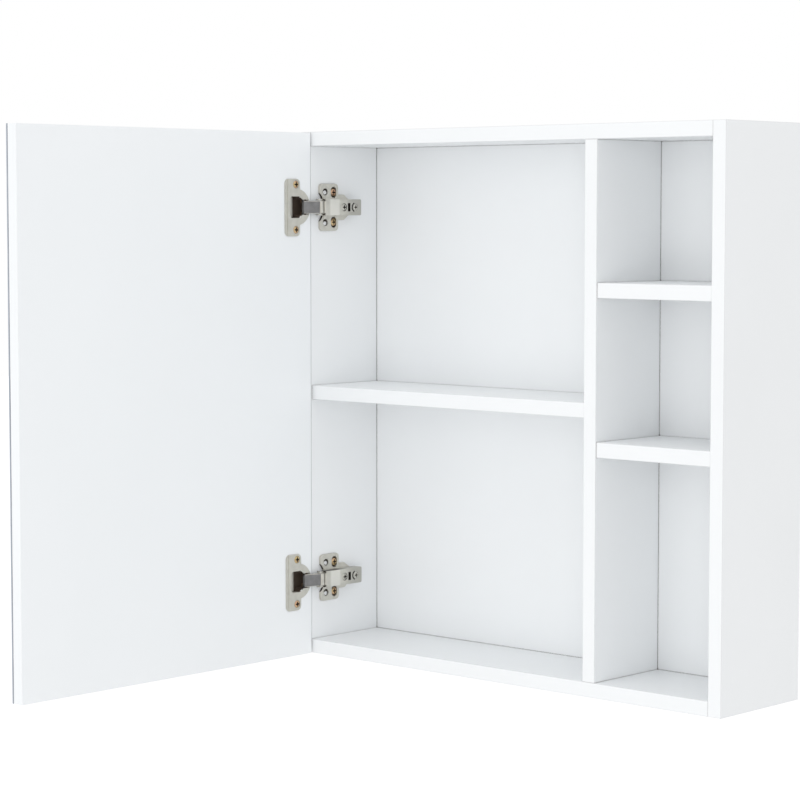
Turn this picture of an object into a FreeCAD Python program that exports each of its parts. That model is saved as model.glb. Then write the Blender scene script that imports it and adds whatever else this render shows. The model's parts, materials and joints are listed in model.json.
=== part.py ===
import FreeCAD, Part
import os
import re

# Bathroom mirror cabinet: a white board carcass with open shelves on the right and one mirrored door on the left.
# X runs to the right, Y to the wall and Z up. The origin lies on the wall plane, midway between the hanging holes.

doc = FreeCAD.newDocument("mirror_cabinet")
sheet = doc.addObject("Spreadsheet::Sheet", "sizes")

# Sizes in millimetres, each written once.
sizes = [
    ("carcass_width", "552"),
    ("carcass_height", "560"),
    ("carcass_depth", "130"),
    ("board", "15"),
    ("board_edge", "0.4"),
    ("hanger_drop", "40"),
    ("hanger_from_side", "56"),
    ("rear_recess", "22"),
    ("back_thickness", "5"),
    ("groove_depth", "5"),
    ("groove_play", "0.4"),
    ("divider_offset", "386.5"),
    ("main_shelf_height", "274.5"),
    ("right_upper_shelf_height", "391.5"),
    ("right_lower_shelf_height", "236.5"),
    ("shelf_setback", "1"),
    ("rail_height", "70"),
    ("rail_thickness", "15"),
    ("rail_dowel_upper", "40"),
    ("rail_dowel_lower", "58"),
    ("door_reveal", "1"),
    ("divider_overlay", "12.3"),
    ("door_thickness", "12.5"),
    ("glass_thickness", "2"),
    ("glass_chamfer", "0.6"),
    ("film_thickness", "0.5"),
    ("film_margin", "1"),
    ("open_face", "1.7"),
    ("open_edge", "2.1"),
    ("hinge_from_end", "80"),
    ("cup_radius", "17.5"),
    ("cup_rim", "1.2"),
    ("cup_depth", "11.5"),
    ("cup_centre", "21.5"),
    ("cup_floor", "1"),
    ("bore_play", "0.1"),
    ("bore_extra_depth", "0.3"),
    ("flange_thickness", "1.2"),
    ("flange_front", "3.9"),
    ("flange_back", "17.7"),
    ("flange_height", "62"),
    ("flange_corner", "5"),
    ("well_front", "6"),
    ("well_back", "31.2"),
    ("well_half_height", "11.4"),
    ("well_nose_half_height", "7.2"),
    ("well_nose_length", "7.9"),
    ("well_taper_length", "4.8"),
    ("cup_screw_spacing", "48"),
    ("cup_screw_offset", "1.8"),
    ("cup_pin_inset", "8.05"),
    ("cup_pin_depth", "3.6"),
    ("cup_pin_half_length", "9.4"),
    ("arm_pin_height", "7.7"),
    ("arm_pin_setback", "6"),
    ("arm_pin_half_length", "9"),
    ("pin_radius", "1.25"),
    ("pin_play", "0.05"),
    ("press_play", "0.01"),
    ("link_half_width", "6.6"),
    ("link_sheet", "1.2"),
    ("link_arm_eye", "2.6"),
    ("link_cup_eye", "1.75"),
    ("link_rise", "3.2"),
    ("link_start", "0.5"),
    ("link_tail_rise", "5.8"),
    ("link_tail", "4.3"),
    ("arm_half_width", "8.75"),
    ("arm_sheet", "1.2"),
    ("arm_top", "13.8"),
    ("arm_foot", "4.5"),
    ("arm_front", "3"),
    ("arm_rear", "63.6"),
    ("arm_corner", "4"),
    ("plate_thickness", "2"),
    ("plate_front", "10.6"),
    ("plate_back", "40.8"),
    ("plate_height", "51.5"),
    ("plate_corner", "5"),
    ("shoulder_half_height", "13.6"),
    ("shoulder_back", "48.5"),
    ("shoulder_tip", "54"),
    ("shoulder_tip_half_height", "9.5"),
    ("shoulder_thickness", "3.4"),
    ("plate_hump_half_width", "6.9"),
    ("plate_hump_front", "18"),
    ("plate_hump_back", "59"),
    ("plate_screw_spacing", "32"),
    ("plate_screw_setback", "32.5"),
    ("plate_slot_travel", "2.5"),
    ("plate_dimple_setback", "20.4"),
    ("plate_dimple_radius", "2.4"),
    ("hinge_screw_radius", "1.75"),
    ("hinge_screw_length", "11"),
    ("hinge_screw_head", "3.9"),
    ("hinge_screw_head_height", "1.8"),
    ("screw_play", "0.3"),
    ("head_crown", "0.7"),
    ("cross_length", "4.2"),
    ("cross_width", "0.9"),
    ("cross_depth", "1.1"),
    ("adjuster_setback", "37.1"),
    ("adjuster_head", "3.6"),
    ("adjuster_head_height", "1.4"),
    ("adjuster_radius", "2.5"),
    ("adjuster_length", "8"),
    ("arm_slot_setback", "45.1"),
    ("arm_slot_length", "9"),
    ("arm_slot_width", "2.4"),
    ("lock_setback", "54.3"),
    ("lock_ring_outer", "5.2"),
    ("lock_ring_inner", "4"),
    ("lock_gate", "1"),
    ("dowel_radius", "4"),
    ("dowel_in_side", "10"),
    ("dowel_in_end", "20"),
    ("corner_dowel_setback", "64"),
    ("shelf_dowel_front", "28"),
    ("shelf_dowel_from_back", "25"),
    ("cam_radius", "7.5"),
    ("cam_height", "12"),
    ("cam_from_end", "24"),
    ("cam_front", "32"),
    ("cam_from_back", "11"),
    ("cam_slot_length", "9"),
    ("cam_slot_width", "1.6"),
    ("cam_slot_depth", "1.5"),
    ("bolt_radius", "3.4"),
    ("bolt_thread_radius", "2.5"),
    ("bolt_in_side", "11"),
    ("divider_screw_radius", "2.5"),
    ("divider_screw_length", "45"),
    ("divider_screw_head", "4.8"),
    ("divider_screw_head_height", "3"),
    ("divider_screw_front", "25"),
    ("divider_screw_from_back", "25"),
    ("hanger_plate_thickness", "1.5"),
    ("hanger_plate_length", "60"),
    ("hanger_plate_height", "24"),
    ("hanger_plate_corner", "6"),
    ("hanger_hole_radius", "5"),
    ("hanger_slot_radius", "2.6"),
    ("hanger_slot_rise", "7"),
    ("hanger_pocket_length", "18"),
    ("hanger_pocket_height", "26"),
    ("hanger_pocket_depth", "8"),
    ("hanger_screw_spacing", "46"),
    ("hanger_screw_head", "3.4"),
    ("hanger_screw_head_height", "1.2"),
    ("hanger_screw_length", "11"),
]

# Places that follow from the sizes.
places = [
    ("left_outer", "-carcass_width / 2"),
    ("left_inner", "left_outer + board"),
    ("right_outer", "carcass_width / 2"),
    ("right_inner", "right_outer - board"),
    ("front", "-carcass_depth"),
    ("top_outer", "hanger_drop"),
    ("top_inner", "top_outer - board"),
    ("bottom_outer", "hanger_drop - carcass_height"),
    ("bottom_inner", "bottom_outer + board"),
    ("inner_width", "carcass_width - 2 * board"),
    ("inner_height", "carcass_height - 2 * board"),
    ("back_inset", "carcass_depth - rear_recess - back_thickness"),
    ("back_front", "front + back_inset"),
    ("back_rear", "back_front + back_thickness"),
    ("cam_back", "back_inset - cam_from_back"),
    ("shelf_dowel_back", "back_inset - shelf_dowel_from_back"),
    ("divider_screw_back", "back_inset - divider_screw_from_back"),
    ("divider_left", "left_outer + divider_offset"),
    ("divider_right", "divider_left + board"),
    ("divider_middle", "divider_left + board / 2"),
    ("main_shelf_bottom", "bottom_outer + main_shelf_height"),
    ("right_upper_shelf_bottom", "bottom_outer + right_upper_shelf_height"),
    ("right_lower_shelf_bottom", "bottom_outer + right_lower_shelf_height"),
    ("rail_front", "-rail_thickness"),
    ("hanger_spacing", "carcass_width - 2 * hanger_from_side"),
    ("door_height", "carcass_height - door_reveal"),
    ("door_width", "divider_offset + divider_overlay"),
    ("door_face", "left_inner + open_face"),
    ("door_edge", "front - open_edge"),
    ("door_bottom", "bottom_outer"),
    ("film_outer", "door_face - door_thickness - film_thickness"),
    ("glass_outer", "film_outer - glass_thickness"),
    ("upper_hinge", "top_outer - hinge_from_end"),
    ("lower_hinge", "bottom_outer + hinge_from_end"),
    ("cup_axis", "door_edge - cup_centre"),
    ("arm_pin_x", "left_inner + arm_pin_height"),
    ("arm_pin_y", "front + arm_pin_setback"),
    ("cup_pin_x", "door_face - cup_pin_depth"),
    ("cup_pin_y", "door_edge - cup_pin_inset"),
]

aliases = set()
for row, (alias, text) in enumerate(sizes + places, start=1):
    sheet.set("A%d" % row, alias)
    formula = text if row <= len(sizes) else "=" + text
    sheet.set("B%d" % row, formula)
    sheet.setAlias("B%d" % row, alias)
    aliases.add(alias)
doc.recompute()


def value(alias):
    return float(sheet.get(alias))


def bind(piece, prop, text):
    words = re.sub(r"[a-z_]+", lambda w: "sizes." + w.group(0) if w.group(0) in aliases else w.group(0), text)
    piece.setExpression(prop, words)


def place(piece, x, y, z):
    bind(piece, "Placement.Base.x", x)
    bind(piece, "Placement.Base.y", y)
    bind(piece, "Placement.Base.z", z)
    return piece


def block(name, dx, dy, dz, x, y, z):
    piece = doc.addObject("Part::Box", name)
    bind(piece, "Length", dx)
    bind(piece, "Width", dy)
    bind(piece, "Height", dz)
    return place(piece, x, y, z)


turns = {
    "x": FreeCAD.Rotation(FreeCAD.Vector(0, 1, 0), 90),
    "-x": FreeCAD.Rotation(FreeCAD.Vector(0, 1, 0), -90),
    "y": FreeCAD.Rotation(FreeCAD.Vector(1, 0, 0), -90),
    "-y": FreeCAD.Rotation(FreeCAD.Vector(1, 0, 0), 90),
    "z": FreeCAD.Rotation(),
    "-z": FreeCAD.Rotation(FreeCAD.Vector(1, 0, 0), 180),
}


def rod(name, radius, length, x, y, z, way):
    piece = doc.addObject("Part::Cylinder", name)
    bind(piece, "Radius", radius)
    bind(piece, "Height", length)
    piece.Placement.Rotation = turns[way]
    return place(piece, x, y, z)


def taper(name, radius_low, radius_high, length, x, y, z, way):
    piece = doc.addObject("Part::Cone", name)
    bind(piece, "Radius1", radius_low)
    bind(piece, "Radius2", radius_high)
    bind(piece, "Height", length)
    piece.Placement.Rotation = turns[way]
    return place(piece, x, y, z)


def fuse(name, pieces):
    piece = doc.addObject("Part::MultiFuse", name)
    piece.Shapes = pieces
    piece.Refine = True
    return piece


def cut(name, base, tools):
    piece = doc.addObject("Part::Cut", name)
    piece.Base = base
    piece.Tool = tools[0] if len(tools) == 1 else fuse(name + "_tools", tools)
    piece.Refine = True
    return piece


def group(name, pieces):
    piece = doc.addObject("Part::Compound", name)
    piece.Links = pieces
    return piece


def rounded(name, base, way, alias):
    doc.recompute()
    piece = doc.addObject("Part::Fillet", name)
    piece.Base = base
    radius = value(alias)
    lines = []
    for number, edge in enumerate(base.Shape.Edges, start=1):
        direction = edge.tangentAt(edge.FirstParameter)
        if abs(direction.dot(way)) > 0.99:
            lines.append((number, radius, radius))
    piece.Edges = lines
    return piece


def eased(name, base):
    # Every edge of a board broken by a small chamfer.
    doc.recompute()
    piece = doc.addObject("Part::Chamfer", name)
    piece.Base = base
    break_size = value("board_edge")
    piece.Edges = [(number, break_size, break_size) for number in range(1, len(base.Shape.Edges) + 1)]
    return piece


along_x = FreeCAD.Vector(1, 0, 0)
along_y = FreeCAD.Vector(0, 1, 0)
finished = []


def finish(piece, label):
    piece.Label = label
    finished.append(piece)


# Joint fittings shared by the boards: corner dowels and cam bolts, shelf dowels, divider screws.
dowels = []
bolts = []
cams = []
holes = {}


def hole(board_name, piece):
    holes.setdefault(board_name, []).append(piece)


def pair(name, kind, x_face, y, z, inward, side_board, end_board):
    # One dowel or cam bolt across the joint between a standing board and the end of a lying one.
    tail = "-x" if inward == "x" else "x"
    if kind == "dowel":
        start = "%s %s dowel_in_side" % (x_face, "-" if inward == "x" else "+")
        rod_piece = rod(name, "dowel_radius", "dowel_in_side + dowel_in_end", start, y, z, inward)
        dowels.append(rod_piece)
        hole(side_board, rod(name + "_side", "dowel_radius + press_play", "dowel_in_side", x_face, y, z, tail))
        hole(end_board, rod(name + "_end", "dowel_radius + press_play", "dowel_in_end", x_face, y, z, inward))
        return
    neck = rod(name + "_neck", "bolt_radius", "cam_from_end", x_face, y, z, inward)
    thread = rod(name + "_thread", "bolt_thread_radius", "bolt_in_side", x_face, y, z, tail)
    bolts.append(fuse(name, [neck, thread]))
    hole(side_board, rod(name + "_side", "bolt_thread_radius + press_play", "bolt_in_side", x_face, y, z, tail))
    hole(end_board, rod(name + "_end", "bolt_radius + screw_play", "cam_from_end", x_face, y, z, inward))


def cam(name, x_face, y, z_face, inward, upward, end_board):
    # A round cam let into the outer face of a lying board, with the bolt's bore and a driver slot.
    sign = "+" if inward == "x" else "-"
    centre = "%s %s cam_from_end" % (x_face, sign)
    way = "-z" if upward else "z"
    down = "-" if upward else "+"
    housing = rod(name + "_body", "cam_radius", "cam_height", centre, y, z_face, way)
    tail = "-x" if inward == "x" else "x"
    bolt_way = rod(name + "_bore", "bolt_radius + press_play", "cam_radius + 1", centre, y,
                   "%s %s board / 2" % (z_face, down), tail)
    low = "%s - cam_slot_depth" % z_face if upward else z_face
    slot = block(name + "_slot", "cam_slot_length", "cam_slot_width", "cam_slot_depth",
                 centre + " - cam_slot_length / 2", y + " - cam_slot_width / 2", low)
    cams.append(cut(name, housing, [bolt_way, slot]))
    hole(end_board, rod(name + "_pocket", "cam_radius + press_play", "cam_height", centre, y, z_face, way))


corners = [
    ("left_top", "left_inner", "x", "top_outer", True, "left_side_panel", "top_panel"),
    ("right_top", "right_inner", "-x", "top_outer", True, "right_side_panel", "top_panel"),
    ("left_bottom", "left_inner", "x", "bottom_outer", False, "left_side_panel", "bottom_panel"),
    ("right_bottom", "right_inner", "-x", "bottom_outer", False, "right_side_panel", "bottom_panel"),
]
for name, x_face, inward, z_face, upward, side_board, end_board in corners:
    middle = "%s %s board / 2" % (z_face, "-" if upward else "+")
    pair(name + "_dowel", "dowel", x_face, "front + corner_dowel_setback", middle, inward, side_board, end_board)
    for place_name, setback in (("front", "cam_front"), ("back", "cam_back")):
        y = "front + " + setback
        pair("%s_%s_bolt" % (name, place_name), "bolt", x_face, y, middle, inward, side_board, end_board)
        cam("%s_%s_cam" % (name, place_name), x_face, y, z_face, inward, upward, end_board)

shelf_ends = [
    ("main_shelf_left", "left_inner", "x", "main_shelf_bottom", "left_side_panel", "main_shelf"),
    ("main_shelf_right", "divider_left", "-x", "main_shelf_bottom", "divider_panel", "main_shelf"),
    ("upper_shelf_left", "divider_right", "x", "right_upper_shelf_bottom", "divider_panel", "right_upper_shelf"),
    ("upper_shelf_right", "right_inner", "-x", "right_upper_shelf_bottom", "right_side_panel", "right_upper_shelf"),
    ("lower_shelf_left", "divider_right", "x", "right_lower_shelf_bottom", "divider_panel", "right_lower_shelf"),
    ("lower_shelf_right", "right_inner", "-x", "right_lower_shelf_bottom", "right_side_panel", "right_lower_shelf"),
]
for name, x_face, inward, low, side_board, end_board in shelf_ends:
    for place_name, setback in (("front", "shelf_dowel_front"), ("back", "shelf_dowel_back")):
        pair("%s_%s_dowel" % (name, place_name), "dowel", x_face, "front + " + setback, low + " + board / 2",
             inward, side_board, end_board)

for name, x_face, inward in (("rail_left", "left_inner", "x"), ("rail_right", "right_inner", "-x")):
    side_board = "left_side_panel" if inward == "x" else "right_side_panel"
    for place_name, drop in (("upper", "rail_dowel_upper"), ("lower", "rail_dowel_lower")):
        pair("%s_%s_dowel" % (name, place_name), "dowel", x_face, "rail_front + rail_thickness / 2",
             "top_inner - " + drop, inward, side_board, "hanger_rail")

divider_screws = []
for name, z_face, way, board_name in (("top", "top_outer", "-z", "top_panel"),
                                      ("bottom", "bottom_outer", "z", "bottom_panel")):
    sign = "-" if way == "-z" else "+"
    inner = "%s %s board" % (z_face, sign)
    for place_name, setback in (("front", "divider_screw_front"), ("back", "divider_screw_back")):
        y = "front + " + setback
        label = "divider_%s_%s" % (name, place_name)
        head = taper(label + "_head", "divider_screw_head", "divider_screw_radius", "divider_screw_head_height",
                     "divider_middle", y, z_face, way)
        shank = rod(label + "_shank", "divider_screw_radius", "divider_screw_length", "divider_middle", y, z_face, way)
        recess_low = "%s - cross_depth" % z_face if way == "-z" else z_face
        cross_a = block(label + "_cross_a", "cross_length", "cross_width", "cross_depth",
                        "divider_middle - cross_length / 2", y + " - cross_width / 2", recess_low)
        cross_b = block(label + "_cross_b", "cross_width", "cross_length", "cross_depth",
                        "divider_middle - cross_width / 2", y + " - cross_length / 2", recess_low)
        divider_screws.append(cut(label, fuse(label + "_solid", [head, shank]), [cross_a, cross_b]))
        hole(board_name, taper(label + "_seat", "divider_screw_head", "divider_screw_radius",
                               "divider_screw_head_height", "divider_middle", y, z_face, way))
        hole(board_name, rod(label + "_way", "divider_screw_radius + press_play", "board", "divider_middle", y,
                             z_face, way))
        hole("divider_panel", rod(label + "_pilot", "divider_screw_radius + press_play",
                                  "divider_screw_length - board", "divider_middle", y, inner, way))

# Back panel groove, cut into the two sides, the top and the bottom.
groove_width = "back_thickness + 2 * groove_play"
groove_low = "back_front - groove_play"
hole("left_side_panel", block("left_groove", "groove_depth", groove_width, "inner_height + 2 * groove_depth",
                              "left_inner - groove_depth", groove_low, "bottom_inner - groove_depth"))
hole("right_side_panel", block("right_groove", "groove_depth", groove_width, "inner_height + 2 * groove_depth",
                               "right_inner", groove_low, "bottom_inner - groove_depth"))
hole("top_panel", block("top_groove", "inner_width", groove_width, "groove_depth",
                        "left_inner", groove_low, "top_inner"))
hole("bottom_panel", block("bottom_groove", "inner_width", groove_width, "groove_depth",
                           "left_inner", groove_low, "bottom_inner - groove_depth"))

# Hanging plates on the rail, each with a keyhole for a wall screw.
hanger_plates = []
hanger_screws = []
for name, x in (("left", "-hanger_spacing / 2"), ("right", "hanger_spacing / 2")):
    sheet_low = "-hanger_plate_thickness"
    flat = block(name + "_hanger_flat", "hanger_plate_length", "hanger_plate_thickness", "hanger_plate_height",
                 x + " - hanger_plate_length / 2", sheet_low, "-hanger_plate_height / 2 + hanger_slot_rise / 2")
    plate = rounded(name + "_hanger_plate", flat, along_y, "hanger_plate_corner")
    round_hole = rod(name + "_hanger_hole", "hanger_hole_radius", "hanger_plate_thickness", x, sheet_low, "0", "y")
    slot_end = rod(name + "_hanger_slot_end", "hanger_slot_radius", "hanger_plate_thickness", x, sheet_low,
                   "hanger_slot_rise", "y")
    slot = block(name + "_hanger_slot", "2 * hanger_slot_radius", "hanger_plate_thickness", "hanger_slot_rise",
                 x + " - hanger_slot_radius", sheet_low, "0")
    plate_tools = [round_hole, slot_end, slot]
    hole("hanger_rail", block(name + "_hanger_bed", "hanger_plate_length", "hanger_plate_thickness",
                              "hanger_plate_height", x + " - hanger_plate_length / 2", sheet_low,
                              "-hanger_plate_height / 2 + hanger_slot_rise / 2"))
    hole("hanger_rail", block(name + "_hanger_pocket", "hanger_pocket_length", "hanger_pocket_depth",
                              "hanger_pocket_height", x + " - hanger_pocket_length / 2",
                              "-hanger_plate_thickness - hanger_pocket_depth",
                              "hanger_slot_rise / 2 - hanger_pocket_height / 2"))
    for end_name, sign in (("a", "-"), ("b", "+")):
        label = "%s_hanger_screw_%s" % (name, end_name)
        screw_x = "%s %s hanger_screw_spacing / 2" % (x, sign)
        screw_z = "hanger_slot_rise / 2"
        head = taper(label + "_head", "hanger_screw_head", "hinge_screw_radius", "hanger_screw_head_height",
                     screw_x, "0", screw_z, "-y")
        shank = rod(label + "_shank", "hinge_screw_radius", "hanger_screw_length", screw_x, "0", screw_z, "-y")
        cross_a = block(label + "_cross_a", "cross_length", "cross_depth", "cross_width",
                        screw_x + " - cross_length / 2", "-cross_depth", screw_z + " - cross_width / 2")
        cross_b = block(label + "_cross_b", "cross_width", "cross_depth", "cross_length",
                        screw_x + " - cross_width / 2", "-cross_depth", screw_z + " - cross_length / 2")
        hanger_screws.append(cut(label, fuse(label + "_solid", [head, shank]), [cross_a, cross_b]))
        plate_tools.append(taper(label + "_seat", "hanger_screw_head", "hinge_screw_radius",
                                 "hanger_screw_head_height", screw_x, "0", screw_z, "-y"))
        plate_tools.append(rod(label + "_way", "hinge_screw_radius + press_play", "hanger_plate_thickness", screw_x,
                               "0", screw_z, "-y"))
        hole("hanger_rail", rod(label + "_pilot", "hinge_screw_radius + press_play", "hanger_screw_length", screw_x,
                                "0", screw_z, "-y"))
    hanger_plates.append(cut(name + "_hanger", plate, plate_tools))

# Concealed cup hinges, shown with the door open at a right angle.
door_holes = []


def cross_head_screw(label, x, y, z, head_radius, head_height, shank_radius, shank_length):
    # A screw driven along -X with a domed cross head standing on the plane at x.
    head = taper(label + "_head", head_radius, head_radius + " * head_crown", head_height, x, y, z, "x")
    shank = rod(label + "_shank", shank_radius, shank_length, x, y, z, "-x")
    recess = "%s + %s - cross_depth" % (x, head_height)
    cross_a = block(label + "_cross_a", "cross_depth", "cross_length", "cross_width", recess,
                    y + " - cross_length / 2", z + " - cross_width / 2")
    cross_b = block(label + "_cross_b", "cross_depth", "cross_width", "cross_length", recess,
                    y + " - cross_width / 2", z + " - cross_length / 2")
    return cut(label, fuse(label + "_solid", [head, shank]), [cross_a, cross_b])


def outline(name, points, z, length_alias, offset):
    # A prism on a closed outline whose points are given from the hinge corner of the carcass.
    corner = FreeCAD.Vector(value("left_inner"), value("front"), value(z) + offset)
    wire = Part.makePolygon([corner + FreeCAD.Vector(x, y, 0) for x, y in points + points[:1]])
    piece = doc.addObject("Part::Feature", name)
    piece.Shape = Part.Face(wire).extrude(FreeCAD.Vector(0, 0, length_alias))
    return piece


# Underside of the link's cheek, as steps from the cup pin, bowed round the edge of the cup.
cheek_underside = [(2.4, 0.6), (4.5, -0.45), (6.3, 1.15), (7.3, 5.15)]


def hinge(name, z):
    # Cup with its flange, let into the door.
    face = "door_face"
    barrel = rod(name + "_cup_barrel", "cup_radius", "cup_depth", face + " - cup_depth", "cup_axis", z, "x")
    rim = rod(name + "_cup_rim", "cup_radius + cup_rim", "flange_thickness", face, "cup_axis", z, "x")
    flange_flat = block(name + "_flange_flat", "flange_thickness", "flange_front + flange_back", "flange_height", face,
                        "cup_axis - flange_back", z + " - flange_height / 2")
    flange = rounded(name + "_flange", flange_flat, along_x, "flange_corner")
    well = block(name + "_well", "cup_depth - cup_floor + flange_thickness",
                 "well_back - well_front - well_nose_length - well_taper_length", "2 * well_half_height",
                 face + " - cup_depth + cup_floor", "door_edge - well_back", z + " - well_half_height")
    nose = block(name + "_well_nose", "cup_depth - cup_floor + flange_thickness", "well_nose_length",
                 "2 * well_nose_half_height", face + " - cup_depth + cup_floor",
                 "door_edge - well_front - well_nose_length", z + " - well_nose_half_height")
    neck = doc.addObject("Part::Wedge", name + "_well_taper")
    for prop, text in (("Xmin", "0"), ("X2min", "0"), ("Ymin", "0"), ("Zmin", "-well_half_height"),
                       ("Z2min", "-well_nose_half_height"), ("Zmax", "well_half_height"),
                       ("Z2max", "well_nose_half_height"), ("Ymax", "well_taper_length"),
                       ("Xmax", "cup_depth - cup_floor + flange_thickness"),
                       ("X2max", "cup_depth - cup_floor + flange_thickness")):
        bind(neck, prop, text)
    place(neck, face + " - cup_depth + cup_floor",
          "door_edge - well_front - well_nose_length - well_taper_length", z)
    pin_way = rod(name + "_cup_pin_way", "pin_radius + press_play", "2 * cup_pin_half_length", "cup_pin_x", "cup_pin_y",
                  z + " - cup_pin_half_length", "z")
    cup_tools = [well, neck, nose, pin_way]
    cup_screws = []
    for end_name, sign in (("upper", "+"), ("lower", "-")):
        label = "%s_cup_screw_%s" % (name, end_name)
        screw_y = "cup_axis - cup_screw_offset"
        screw_z = "%s %s cup_screw_spacing / 2" % (z, sign)
        cup_screws.append(cross_head_screw(label, face + " + flange_thickness", screw_y, screw_z, "hinge_screw_head",
                                           "hinge_screw_head_height", "hinge_screw_radius", "hinge_screw_length"))
        cup_tools.append(rod(label + "_way", "hinge_screw_radius + press_play", "flange_thickness", face, screw_y,
                             screw_z, "x"))
        door_holes.append(rod(label + "_pilot", "hinge_screw_radius + press_play",
                              "hinge_screw_length - flange_thickness", face, screw_y, screw_z, "-x"))
    finish(cut(name + "_cup_piece", fuse(name + "_cup_solid", [barrel, rim, flange]), cup_tools), name + "_hinge_cup")
    finish(group(name + "_cup_screw_group", cup_screws), name + "_hinge_cup_screws")
    door_holes.append(rod(name + "_cup_bore", "cup_radius + bore_play", "cup_depth + bore_extra_depth", face,
                          "cup_axis", z, "-x"))
    finish(rod(name + "_cup_pin_piece", "pin_radius", "2 * cup_pin_half_length", "cup_pin_x", "cup_pin_y",
               z + " - cup_pin_half_length", "z"), name + "_hinge_cup_pin")

    # Bowed link between the arm and the cup: a web with two cheeks.
    half = value("link_half_width")
    thin = value("link_sheet")
    arm_pin = (value("arm_pin_height"), value("arm_pin_setback"))
    cup_pin = (value("open_face") - value("cup_pin_depth"), -value("open_edge") - value("cup_pin_inset"))
    eye = value("link_cup_eye")
    web_start = (arm_pin[0] + value("link_rise"), arm_pin[1] - value("link_start"))
    web_end = (cup_pin[0] + value("link_tail_rise"), cup_pin[1] - value("link_tail"))
    step = FreeCAD.Vector(web_start[0] - web_end[0], web_start[1] - web_end[1], 0).normalize()
    inward = (-step.y * thin, step.x * thin)
    web_points = [web_start, web_end, (web_end[0] + inward[0], web_end[1] + inward[1]),
                  (web_start[0] + inward[0], web_start[1] + inward[1])]
    cheek_points = [web_start, web_end, (web_end[0] + inward[0], web_end[1] + inward[1]),
                    (cup_pin[0], cup_pin[1] - eye), (cup_pin[0], cup_pin[1] + eye)]
    cheek_points += [(cup_pin[0] + rise, cup_pin[1] + run) for rise, run in cheek_underside]
    cheek_points.append((arm_pin[0] - value("link_arm_eye"), arm_pin[1]))
    solids = [outline(name + "_link_web", web_points, name + "_hinge", 2 * half, -half)]
    for end_name, low, sign in (("upper", half - thin, "+"), ("lower", -half, "-")):
        solids.append(outline("%s_link_cheek_%s" % (name, end_name), cheek_points, name + "_hinge", thin, low))
        start = z + (" + link_half_width - link_sheet" if sign == "+" else " - link_half_width")
        solids.append(rod("%s_link_arm_eye_%s" % (name, end_name), "link_arm_eye", "link_sheet", "arm_pin_x",
                          "arm_pin_y", start, "z"))
        solids.append(rod("%s_link_cup_eye_%s" % (name, end_name), "link_cup_eye", "link_sheet", "cup_pin_x",
                          "cup_pin_y", start, "z"))
    arm_way = rod(name + "_link_arm_way", "pin_radius + pin_play", "2 * link_half_width", "arm_pin_x", "arm_pin_y",
                  z + " - link_half_width", "z")
    cup_way = rod(name + "_link_cup_way", "pin_radius + pin_play", "2 * link_half_width", "cup_pin_x", "cup_pin_y",
                  z + " - link_half_width", "z")
    finish(cut(name + "_link_piece", fuse(name + "_link_solid", solids), [arm_way, cup_way]), name + "_hinge_link")

    # Arm: a channel over the mounting plate, with its pin, adjusting screw, slot and locking screw.
    back = "left_inner"
    shell = block(name + "_arm_block", "arm_top - arm_foot", "arm_rear - arm_front", "2 * arm_half_width",
                  back + " + arm_foot", "front + arm_front", z + " - arm_half_width")
    doc.recompute()
    soft = doc.addObject("Part::Fillet", name + "_arm_soft")
    soft.Base = shell
    corner = value("arm_corner")
    edges = []
    for number, edge in enumerate(shell.Shape.Edges, start=1):
        middle = edge.CenterOfMass
        if abs(middle.y - value("front") - value("arm_rear")) < 0.01 and abs(edge.tangentAt(0).x) > 0.99:
            edges.append((number, corner, corner))
        if abs(middle.x - value("left_inner") - value("arm_top")) < 0.01 and abs(edge.tangentAt(0).y) > 0.99:
            edges.append((number, value("arm_sheet"), value("arm_sheet")))
    soft.Edges = edges
    hollow = block(name + "_arm_hollow", "arm_top - arm_foot - arm_sheet", "arm_rear - arm_front",
                   "2 * (arm_half_width - arm_sheet)", back + " + arm_foot", "front + arm_front",
                   z + " - arm_half_width + arm_sheet")
    arm_pin_way = rod(name + "_arm_pin_way", "pin_radius + press_play", "2 * arm_half_width", "arm_pin_x", "arm_pin_y",
                      z + " - arm_half_width", "z")
    web_low = back + " + arm_top - arm_sheet"
    adjuster_way = rod(name + "_adjuster_way", "adjuster_radius + press_play", "arm_sheet", web_low,
                       "front + adjuster_setback", z, "x")
    slot = block(name + "_arm_slot", "arm_sheet", "arm_slot_width", "arm_slot_length", web_low,
                 "front + arm_slot_setback - arm_slot_width / 2", z + " - arm_slot_length / 2")
    lock_way = rod(name + "_lock_way", "hinge_screw_radius + press_play", "arm_sheet", web_low, "front + lock_setback",
                   z, "x")
    ring_outer = rod(name + "_lock_ring_outer", "lock_ring_outer", "arm_sheet / 2", web_low + " + arm_sheet / 2",
                     "front + lock_setback", z, "x")
    ring_inner = rod(name + "_lock_ring_inner", "lock_ring_inner", "arm_sheet / 2", web_low + " + arm_sheet / 2",
                     "front + lock_setback", z, "x")
    gate = block(name + "_lock_ring_gate", "arm_sheet / 2", "2 * lock_ring_inner", "lock_ring_inner",
                 web_low + " + arm_sheet / 2", "front + lock_setback + lock_gate", z + " - lock_ring_inner / 2")
    ring = cut(name + "_lock_ring", ring_outer, [ring_inner, gate])
    finish(cut(name + "_arm_piece", soft, [hollow, arm_pin_way, adjuster_way, slot, lock_way, ring]),
           name + "_hinge_arm")
    finish(rod(name + "_arm_pin_piece", "pin_radius", "2 * arm_pin_half_length", "arm_pin_x", "arm_pin_y",
               z + " - arm_pin_half_length", "z"), name + "_hinge_arm_pin")
    finish(cross_head_screw(name + "_adjuster_piece", back + " + arm_top", "front + adjuster_setback", z, "adjuster_head",
                            "adjuster_head_height", "adjuster_radius", "adjuster_length"),
           name + "_hinge_adjusting_screw")
    finish(cross_head_screw(name + "_lock_piece", back + " + arm_top", "front + lock_setback", z, "hinge_screw_head",
                            "hinge_screw_head_height", "hinge_screw_radius", "adjuster_length"),
           name + "_hinge_lock_screw")

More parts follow.
